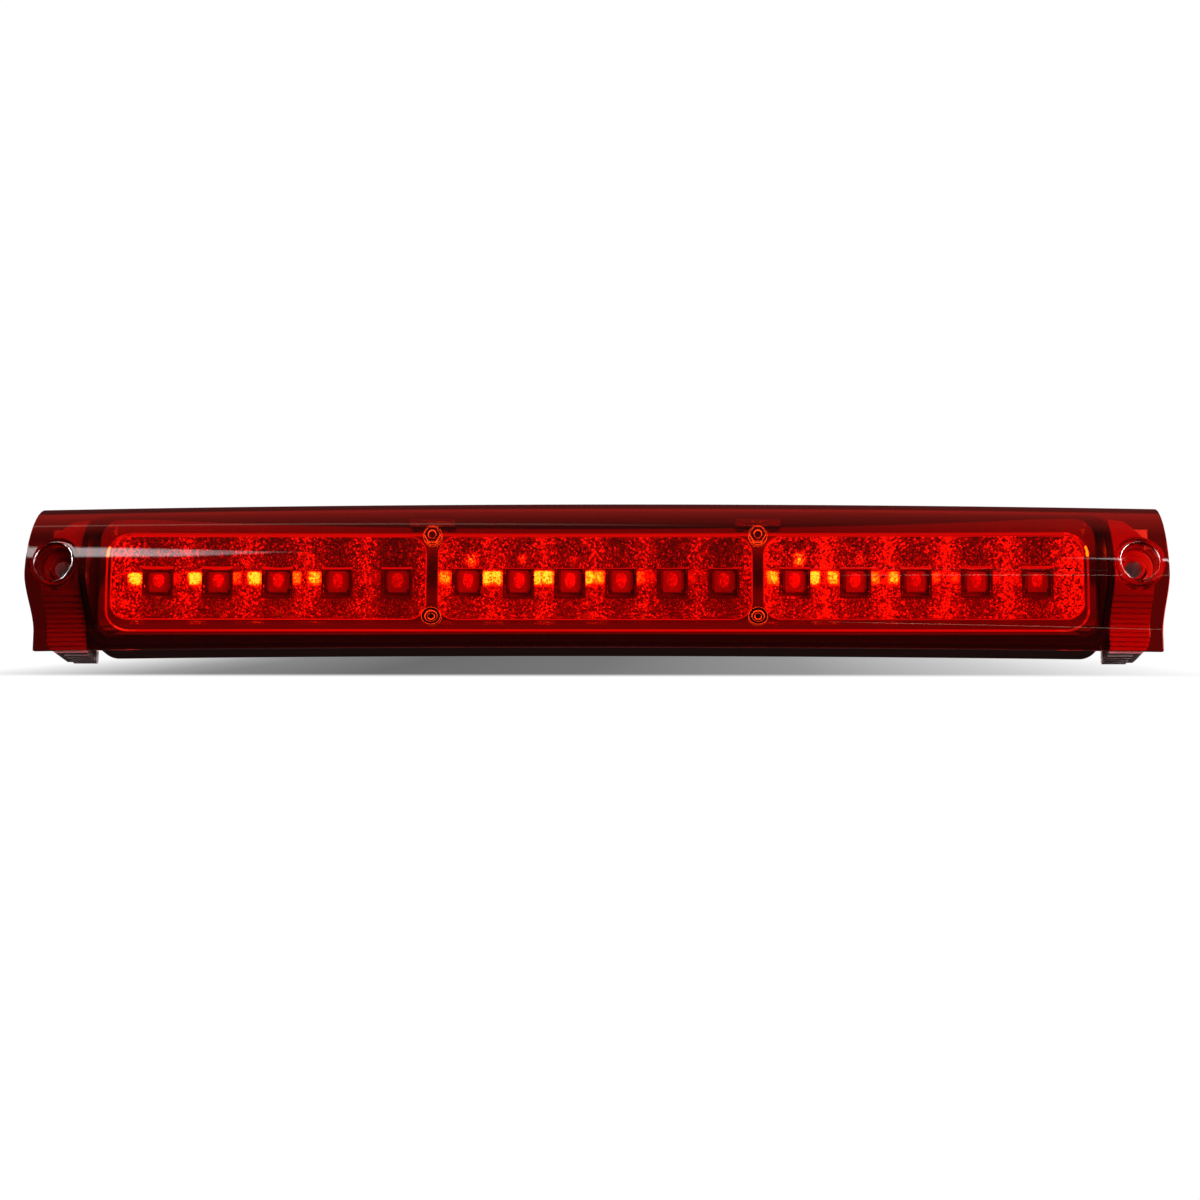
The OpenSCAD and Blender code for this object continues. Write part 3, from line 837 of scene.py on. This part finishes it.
class LAMP_OT_reflectors(bpy.types.Operator):
    """Builds the three trays: a faceted cup round each LED, with the window's raised rim"""

    bl_idname = "lamp.reflectors"
    bl_label = "Reflector trays"

    columns = 90
    ring_step = 0.68 * MM
    pillow = 0.08 * MM
    wall = 0.5 * MM
    lap = 1.1 * MM
    rim_width = 0.7 * MM
    rim_rise = 0.35 * MM
    # painted light on the facets is made stronger on the middle and right trays
    gains = {"left": 1.0, "center": 1.22, "right": 1.38}

    def cup_height(self, r):
        """Height of a cup over the back face at that distance from its LED."""
        s = sizes()
        rise = (s.cup_high - s.cup_low) * (r / s.cup_radius) ** 2
        limit = s.cup_high - s.cup_low
        if rise <= 0:
            return s.cup_low
        return s.cup_low + limit * (1 - math.exp(-((rise / limit) ** 3))) ** (1 / 3)

    def cup(self, x, x0, x1, z0, z1):
        """One cup's facets, cut to its cell. Returns a mesh."""
        s = sizes()
        bm = bmesh.new()
        radius = s.window_half * 0.9
        bmesh.ops.create_circle(bm, cap_ends=False, segments=self.columns, radius=radius)
        loop = bm.edges[:]
        reach = math.hypot(max(x - x0, x1 - x), max(s.led_z - z0, z1 - s.led_z))
        while radius < reach:
            radius += self.ring_step
            made = bmesh.ops.extrude_edge_only(bm, edges=loop)["geom"]
            loop = [g for g in made if isinstance(g, bmesh.types.BMEdge) and g.is_boundary]
            for v in made:
                if isinstance(v, bmesh.types.BMVert):
                    v.co = v.co.normalized() * radius
        for v in bm.verts:
            v.co = Vector((x + v.co.x, 0, s.led_z + v.co.y))
        for point, normal in (
            ((x0, 0, 0), (-1, 0, 0)),
            ((x1, 0, 0), (1, 0, 0)),
            ((0, 0, z0), (0, 0, -1)),
            ((0, 0, z1), (0, 0, 1)),
        ):
            bmesh.ops.bisect_plane(
                bm, geom=bm.verts[:] + bm.edges[:] + bm.faces[:], dist=1e-7, plane_co=point, plane_no=normal,
                clear_outer=True,
            )
        inside = []
        for f in bm.faces:
            c = f.calc_center_median()
            if max(abs(c.x - x), abs(c.z - s.led_z)) < s.window_half:
                inside.append(f)
        bmesh.ops.delete(bm, geom=inside, context="FACES")
        for v in bm.verts:
            v.co.y = -self.cup_height(math.hypot(v.co.x - x, v.co.z - s.led_z))
        bm.normal_update()
        for f in bm.faces:
            if f.normal.y > 0:
                f.normal_flip()
        bm.normal_update()
        bmesh.ops.poke(bm, faces=bm.faces[:], offset=self.pillow, center_mode="MEAN")
        mesh = bpy.data.meshes.new("cup")
        bm.to_mesh(mesh)
        bm.free()
        return mesh

    def rim_bottom(self, y, inner):
        """The lower end of a rim's wall: down to the board inside, a little below the facets outside."""
        return -(sizes().board_front + 0.15 * MM) if inner else y + 0.8 * MM

    def window_rim(self, x):
        """The raised square rim round an LED. Returns a mesh."""
        s = sizes()
        bm = bmesh.new()
        outer = s.window_half + self.rim_width
        opening = s.window_half * 0.99
        bmesh.ops.create_grid(bm, x_segments=16, y_segments=16, size=outer)
        middle = [f for f in bm.faces if max(abs(c) for c in f.calc_center_median().xy) < opening]
        bmesh.ops.delete(bm, geom=middle, context="FACES")
        for v in bm.verts:
            v.co = Vector((x + v.co.x, 0, s.led_z + v.co.y))
            r = math.hypot(v.co.x - x, v.co.z - s.led_z)
            v.co.y = -self.cup_height(r) - self.rim_rise
        borders = [e for e in bm.edges if e.is_boundary]
        made = bmesh.ops.extrude_edge_only(bm, edges=borders)["geom"]
        for v in made:
            if isinstance(v, bmesh.types.BMVert):
                far = max(abs(v.co.x - x), abs(v.co.z - s.led_z))
                v.co.y = self.rim_bottom(v.co.y, far < outer - 0.2 * MM)
        bmesh.ops.recalc_face_normals(bm, faces=bm.faces)
        if sum(f.normal.y * f.calc_area() for f in bm.faces) > 0:
            bmesh.ops.reverse_faces(bm, faces=bm.faces)
        mesh = bpy.data.meshes.new("rim")
        bm.to_mesh(mesh)
        bm.free()
        return mesh

    def painted_light_at(self, x, z, leds, patches, chance, gain):
        """How strongly painted light shows on a facet there, from 0 to 1: random sparkle, brighter near the
        ridges between cups, and painted patches beside and above each LED.
        """
        s = sizes()
        up = z - s.led_z
        cell = min(leds, key=lambda led: abs(x - led))
        ridge = min(abs(x - cell) / (10.5 * MM), 1.0)
        level = max(max(pair[:2]) for led, pair in zip(leds, patches) if led == cell)
        best = gain * (0.08 + 0.15 * ridge**2 + 0.05 * level) * (0.2 + 1.6 * chance)
        if chance > 0.9:
            best += 0.12
        best = min(best, 0.5)
        for led, (left, right, above) in zip(leds, patches):
            dx = x - led
            band = math.exp(-(((up - 0.6 * MM) / (2.8 * MM)) ** 4))
            near_left = left * math.exp(-(((dx + 8.0 * MM) / (2.7 * MM)) ** 4)) * band
            near_right = right * math.exp(-(((dx - 7.0 * MM) / (2.2 * MM)) ** 4)) * band
            fan = above * math.exp(-(((dx - 1.5 * MM) / (3.2 * MM)) ** 2) - ((up - 8 * MM) / (3 * MM)) ** 2)
            spread = math.exp(-(((dx + 6 * MM) / (6 * MM)) ** 2) - (up / (7 * MM)) ** 2)
            halo = 0.5 * max(left, right) * spread
            best = max(best, near_left * (0.72 + 0.45 * chance), near_right * (0.7 + 0.45 * chance))
            best = max(best, fan * (0.25 + chance), halo * (0.3 + 1.0 * chance))
        return min(best, 1.0)

    def execute(self, context):
        s = sizes()
        chance = random.Random(7)
        for tray, (x0, x1) in TRAYS.items():
            leds = led_positions(tray)
            bounds = [x0 - self.lap, *[(a + b) / 2 for a, b in zip(leds, leds[1:])], x1 + self.lap]
            bm = bmesh.new()
            for x, low, high in zip(leds, bounds, bounds[1:]):
                bm.from_mesh(self.cup(x, low, high, s.window_foot - self.lap, s.window_top + self.lap))
            bmesh.ops.remove_doubles(bm, verts=bm.verts, dist=0.01 * MM)
            facets = len(bm.faces)
            for x in leds:
                bm.from_mesh(self.window_rim(x))
            glow_and_painted_light = bm.faces.layers.float.new("glow_and_painted_light")
            for i, f in enumerate(bm.faces):
                c = f.calc_center_median()
                if i < facets:
                    if i % 4 == 0:  # a poked facet has four faces, and they share one draw
                        luck = chance.random()
                    f[glow_and_painted_light] = self.painted_light_at(c.x, c.z, leds, PAINTED_FACET_LIGHT[tray], luck, self.gains[tray])
                else:
                    # painted light: the rims' front faces above each LED glow brighter, the rest faintly
                    f[glow_and_painted_light] = 0.36 if c.z > s.led_z + s.window_half and f.normal.y < -0.5 else 0.08
            piece = put(
                f"{tray}_tray", bm, finish("bright_reflector"), [f"{tray}_reflector"]
            )
            thicken(piece, self.wall, even=False)
        return {"FINISHED"}


class LAMP_OT_leds(bpy.types.Operator):
    """Dresses the LED packages and builds their lit domes"""

    bl_idname = "lamp.leds"
    bl_label = "LEDs"

    def execute(self, context):
        s = sizes()
        base = s.board_front + 0.85 * MM
        chance = random.Random(5)
        for tray in TRAYS:
            dressed(f"{tray}_leds", f"{tray}_packages", finish("led_package"), 0.2 * MM)
            bm = bmesh.new()
            for x in led_positions(tray):
                at = Matrix.Translation((x, -base, s.led_z)) @ Matrix.Rotation(math.radians(90), 4, "X")
                ball = bmesh.ops.create_uvsphere(
                    bm, u_segments=32, v_segments=16, radius=1.95 * MM, matrix=at
                )["verts"]
                for v in ball:
                    v.co.y = min(v.co.y, -base)
            bmesh.ops.remove_doubles(bm, verts=bm.verts, dist=0.001 * MM)
            glow_and_painted_light = bm.verts.layers.float.new("glow_and_painted_light")
            leds = led_positions(tray)
            for v in bm.verts:
                near = min(range(len(leds)), key=lambda i: abs(v.co.x - leds[i]))
                # painted glints: about one vertex in five of the domes glows much brighter
                v[glow_and_painted_light] = 0.09 + 0.07 * LED_BRIGHTNESS[tray][near] + (0.28 if chance.random() > 0.8 else 0.0)
            put(f"{tray}_domes", bm, finish("led_dome"), [f"{tray}_led_domes"], sharp=40)
        return {"FINISHED"}


class LAMP_OT_board(bpy.types.Operator):
    """Dresses the circuit board and what sits on it"""

    bl_idname = "lamp.board"
    bl_label = "Circuit board"

    def execute(self, context):
        dressed("circuit_board", "led_board", finish("board"), 0.1 * MM)
        dressed("resistors", "chip_resistors", finish("chip"), 0.08 * MM)
        dressed("diode", "board_diode", finish("chip"), 0.12 * MM)
        dressed("capacitor", "board_capacitor", finish("capacitor_can"), 0.2 * MM)
        dressed("board_screws", "small_screws", finish("bright_steel"), 0.12 * MM)
        return {"FINISHED"}


class LAMP_OT_screws(bpy.types.Operator):
    """Builds the divider screws and the clips above them"""

    bl_idname = "lamp.screws"
    bl_label = "Divider screws and clips"

    def execute(self, context):
        finishes = [finish("bright_steel"), finish("painted_rim_glint")]
        piece = dressed("upper_divider_screws", "hexagon_screws", finishes, 0.2 * MM, 2)
        # the rounded edges carry the painted glint
        piece.modifiers["rounded_edges"].material = 1
        finishes = [finish("dark_steel"), finish("painted_rim_glint")]
        piece = dressed("lower_divider_screws", "round_screws", finishes, 0.06 * MM, 2)
        # the rounded edges carry the painted glint
        piece.modifiers["rounded_edges"].material = 1
        dressed("reflector_clips", "tray_clips", finish("bright_steel"), 0.15 * MM)
        return {"FINISHED"}


class LAMP_OT_stage(bpy.types.Operator):
    """Sets up the floor, the lights, the surroundings and the camera"""

    bl_idname = "lamp.stage"
    bl_label = "Stage"

    # name, place, size and power
    softboxes = (
        ("top_box", (0.1, -0.3, 1.2), (1.2, 0.4), 8.0),
        ("front_box", (0.7, -1.1, 0.5), (0.8, 0.4), 10.0),
        ("right_box", (0.62, -0.42, 0.1), (0.2, 0.2), 5.0),
    )
    camera_distance = 0.980
    camera_turn = math.radians(2.0)
    focal_share = 2800 / 1200
    frame_drop = 13.3 * MM
    aim_right = 0.0023
    # what the lips of the screw wells mirror
    side_light = 55.0
    # place of a band between straight down (0) and straight up (1), and its brightness
    bands = (
        (0.0, 0.02), (0.47, 0.02), (0.5, 0.30), (0.57, 0.36), (0.64, 0.07), (0.74, 0.05), (0.80, 0.42),
        (0.88, 0.22), (1.0, 1.0),
    )
    # place along the lamp, from 0 to 1, and how bright the shaded floor is there
    shade = (
        (0.0, 1.0), (0.08, 0.63), (0.117, 0.47), (0.15, 0.34), (0.2, 0.235), (0.33, 0.142), (0.5, 0.17),
        (0.68, 0.30), (0.85, 0.61), (0.95, 0.87), (1.0, 1.0),
    )
    # plan, slope, shift, faded end, full end, half width at the full end and at the faded end, colour
    streaks = (
        ("up", 0.8, 0.68, -0.215, -0.37, 0.27, 0.004, (7.0, 6.6, 6.6)),
        ("up", 0.6, -0.29, 0.05, -0.10, 0.035, 0.03, (0.7, 0.5, 0.4)),
        ("fore", 0.0, -0.398, 0.05, 0.2, 0.013, 0.010, (2.0, 1.3, 1.0)),
        ("fore", -2.82, 1.206, 0.12, 0.2, 0.06, 0.05, (4.2, 2.6, 2.0)),
        ("fore", 0.0, -1.45, 0.45, 0.6, 0.2, 0.1, (12.0, 11.5, 11.5)),
        ("up", 0.0, -0.8, -30.0, -20.0, 0.75, 0.75, (0.9, 0.03, 0.02)),
    )

    def execute(self, context):
        self.floor()
        self.surroundings()
        self.camera()
        for softbox in self.softboxes:
            self.softbox(*softbox)
        return {"FINISHED"}

    def floor(self):
        """A white floor with a soft shade under the lamp."""
        low = cad_box[0].z
        bm = bmesh.new()
        bmesh.ops.create_grid(bm, x_segments=1, y_segments=1, size=6.0)
        bmesh.ops.translate(bm, vec=(0, 0, low - 0.3 * MM), verts=bm.verts)
        mesh = bpy.data.meshes.new("floor")
        bm.to_mesh(mesh)
        bm.free()
        floor = bpy.data.objects.new("floor", mesh)
        bpy.context.scene.collection.objects.link(floor)
        material, tree, shader = new_material("pale_floor", Base_Color=(0.05, 0.05, 0.05), Roughness=0.9)
        shader.inputs["Specular IOR Level"].default_value = 0.0
        split = tree.nodes.new("ShaderNodeSeparateXYZ")
        tree.links.new(tree.nodes.new("ShaderNodeTexCoord").outputs["Object"], split.inputs[0])
        x, y = split.outputs["X"], split.outputs["Y"]
        along = tree.nodes.new("ShaderNodeValToRGB")
        fill_ramp(along, [(place, (level,) * 3) for place, level in self.shade])
        tree.links.new(math_node(tree, "MULTIPLY_ADD", x, 2.5, 0.5), along.inputs["Fac"])
        near = math_node(tree, "MULTIPLY", self.ease(tree, y, -0.171, -0.127), self.ease(tree, y, 0.5, 0.15))
        dark = math_node(tree, "MULTIPLY", math_node(tree, "SUBTRACT", along.outputs["Color"], 1.0), near)
        white = tree.nodes.new("ShaderNodeEmission")
        tree.links.new(math_node(tree, "ADD", dark, 1.01), white.inputs["Strength"])
        path = tree.nodes.new("ShaderNodeLightPath")
        mix = tree.nodes.new("ShaderNodeMixShader")
        tree.links.new(path.outputs["Is Camera Ray"], mix.inputs["Fac"])
        tree.links.new(shader.outputs["BSDF"], mix.inputs[1])
        tree.links.new(white.outputs["Emission"], mix.inputs[2])
        tree.links.new(mix.outputs["Shader"], tree.nodes["Material Output"].inputs["Surface"])
        mesh.materials.append(material)
        for kind in ("glossy", "transmission", "diffuse"):
            setattr(floor, "visible_" + kind, False)

    def surroundings(self):
        """White to the camera, dim with streaks to bare surfaces, and banded to what lies behind the lens."""
        world = bpy.data.worlds.new("studio")
        bpy.context.scene.world = world
        world.use_nodes = True
        tree = world.node_tree
        path = tree.nodes.new("ShaderNodeLightPath")
        split = tree.nodes.new("ShaderNodeSeparateXYZ")
        tree.links.new(tree.nodes.new("ShaderNodeTexCoord").outputs["Generated"], split.inputs[0])
        x, y, z = (split.outputs[axis] for axis in "XYZ")
        inner = self.background(tree, self.inner_light(tree, x, y, z))
        outer = self.background(tree, self.outer_light(tree, x, y, z))
        white = self.background(tree, None, 1.02)
        through = math_node(tree, "MINIMUM", path.outputs["Transmission Depth"], 1.0)
        bare = self.mixed(tree, through, outer, inner)
        seen = self.mixed(tree, path.outputs["Is Camera Ray"], bare, white)
        tree.links.new(seen, tree.nodes["World Output"].inputs["Surface"])
        bpy.context.scene.view_settings.view_transform = "Standard"

    def background(self, tree, colour_socket, strength=1.0):
        node = tree.nodes.new("ShaderNodeBackground")
        node.inputs["Color"].default_value = (1.0, 1.0, 1.0, 1.0)
        node.inputs["Strength"].default_value = strength
        if colour_socket:
            tree.links.new(colour_socket, node.inputs["Color"])
        return node.outputs["Background"]

    def mixed(self, tree, factor, first, second):
        node = tree.nodes.new("ShaderNodeMixShader")
        tree.links.new(factor, node.inputs["Fac"])
        tree.links.new(first, node.inputs[1])
        tree.links.new(second, node.inputs[2])
        return node.outputs["Shader"]

    def ease(self, tree, value, start, end, low=0.0, high=1.0):
        """A smooth step of a value."""
        node = tree.nodes.new("ShaderNodeMapRange")
        node.interpolation_type = "SMOOTHSTEP"
        for label, number in (("From Min", start), ("From Max", end), ("To Min", low), ("To Max", high)):
            node.inputs[label].default_value = number
        tree.links.new(value, node.inputs["Value"])
        return node.outputs["Result"]

    def tinted(self, tree, value, tint):
        """A colour of that brightness."""
        node = tree.nodes.new("ShaderNodeCombineXYZ")
        for socket, share in zip(node.inputs, tint):
            tree.links.new(math_node(tree, "MULTIPLY", value, share), socket)
        return node.outputs["Vector"]

    def inner_light(self, tree, x, y, z):
        """Bands in front by elevation, a bright ceiling and a dull back."""
        bands = tree.nodes.new("ShaderNodeValToRGB")
        fill_ramp(bands, [(height, (level,) * 3) for height, level in self.bands])
        tree.links.new(math_node(tree, "MULTIPLY_ADD", z, 0.5, 0.5), bands.inputs["Fac"])
        front = self.ease(tree, y, 0.25, -0.35, 0.0, 1.0)
        fore = math_node(tree, "MULTIPLY", bands.outputs["Color"], front)
        dull = self.ease(tree, x, -0.3, 0.3, 0.055, 0.12)
        back = math_node(tree, "MULTIPLY", self.ease(tree, y, 0.3, 0.8), dull)
        return self.tinted(tree, math_node(tree, "ADD", fore, back), (1.0, 0.3, 0.3))

    def outer_light(self, tree, x, y, z):
        """A dim room with the streaks that the lens mirrors."""
        up = math_node(tree, "MAXIMUM", z, 0.02)
        forward = math_node(tree, "MAXIMUM", math_node(tree, "MULTIPLY", y, -1.0), 0.02)
        plans = {
            "up": (
                math_node(tree, "DIVIDE", x, up),
                math_node(tree, "DIVIDE", y, up),
                self.ease(tree, z, 0.05, 0.2),
            ),
            "fore": (
                math_node(tree, "DIVIDE", x, forward),
                math_node(tree, "DIVIDE", z, forward),
                self.ease(tree, y, -0.05, -0.2),
            ),
        }
        total = self.tinted(tree, self.ease(tree, z, -1.0, 1.0, 0.03, 0.06), (1.3, 0.5, 0.46))
        for plan, slope, shift, start, end, width, tip, tint in self.streaks:
            a, b, mask = plans[plan]
            across = math_node(tree, "ABSOLUTE", self.line(tree, a, b, slope, shift))
            along = self.ease(tree, a, start, end)
            wide = math_node(tree, "MULTIPLY_ADD", along, width - tip, tip)
            soft = self.ease(tree, math_node(tree, "DIVIDE", across, wide), 1.0, 0.45)
            level = math_node(tree, "MULTIPLY", math_node(tree, "MULTIPLY", soft, mask), along)
            total = self.summed(tree, total, self.tinted(tree, level, tint))
        aside = self.ease(tree, math_node(tree, "ABSOLUTE", x), 0.78, 0.92)
        beside = math_node(tree, "MULTIPLY", aside, self.side_light)
        level = math_node(tree, "MULTIPLY", beside, self.ease(tree, z, -0.1, 0.15))
        return self.summed(tree, total, self.tinted(tree, level, (1.0, 0.97, 0.96)))

    def summed(self, tree, first, second):
        """The sum of two colours."""
        node = tree.nodes.new("ShaderNodeVectorMath")
        tree.links.new(first, node.inputs[0])
        tree.links.new(second, node.inputs[1])
        return node.outputs["Vector"]

    def line(self, tree, a, b, slope, shift):
        """How far a direction lies off a streak's middle line."""
        return math_node(tree, "ADD", math_node(tree, "ADD", math_node(tree, "MULTIPLY", a, slope), b), shift)

    def camera(self):
        ring = lean_matrix() @ Vector((0, -39 * MM, 0))
        turn = self.camera_turn
        data = bpy.data.cameras.new("camera")
        camera = bpy.data.objects.new("camera", data)
        bpy.context.scene.collection.objects.link(camera)
        data.sensor_width = 36.0
        data.lens = 36.0 * self.focal_share
        data.clip_start = 0.01
        side = math.sin(turn) * self.camera_distance
        back = ring.y - math.cos(turn) * self.camera_distance
        camera.location = (side, back, ring.z - self.frame_drop)
        camera.rotation_euler = (math.radians(90), 0, turn - self.aim_right)
        bpy.context.scene.camera = camera

    def softbox(self, name, place, size, power):
        """A soft light that looks at the lamp. The lens and the metal don't mirror it."""
        data = bpy.data.lights.new(name, "AREA")
        data.shape = "RECTANGLE"
        data.size, data.size_y = size
        data.energy = power
        light = bpy.data.objects.new(name, data)
        light.location = place
        light.rotation_euler = Vector(place).to_track_quat("Z", "Y").to_euler()
        light.visible_camera = False
        light.visible_glossy = False
        light.visible_transmission = False
        bpy.context.scene.collection.objects.link(light)


class LAMP_PT_panel(bpy.types.Panel):
    """Lists the lamp's pieces, sizes and colours"""

    bl_idname = "LAMP_PT_panel"
    bl_label = "High Stop Lamp"
    bl_space_type = "VIEW_3D"
    bl_region_type = "UI"
    bl_category = "Stop Lamp"

    def draw(self, context):
        for operator in OPERATORS:
            self.layout.operator(operator.bl_idname)
        for holder in (context.scene.lamp_sizes, context.scene.lamp_colours):
            box = self.layout.box()
            for key in holder.__annotations__:
                box.prop(holder, key)


OPERATORS = (
    LAMP_OT_lens,
    LAMP_OT_housing,
    LAMP_OT_bezel,
    LAMP_OT_reflectors,
    LAMP_OT_leds,
    LAMP_OT_board,
    LAMP_OT_screws,
    LAMP_OT_stage,
)
CLASSES = (LampSizes, LampColours, *OPERATORS, LAMP_PT_panel)


def register():
    for cls in CLASSES:
        bpy.utils.register_class(cls)
    bpy.types.Scene.lamp_sizes = bpy.props.PointerProperty(type=LampSizes)
    bpy.types.Scene.lamp_colours = bpy.props.PointerProperty(type=LampColours)


def unregister():
    del bpy.types.Scene.lamp_colours
    del bpy.types.Scene.lamp_sizes
    for cls in reversed(CLASSES):
        bpy.utils.unregister_class(cls)


def main():
    register()
    build_grain()
    build_dust()
    for operator in OPERATORS:
        group, name = operator.bl_idname.split(".")
        getattr(getattr(bpy.ops, group), name)()


if __name__ == "__main__":
    main()
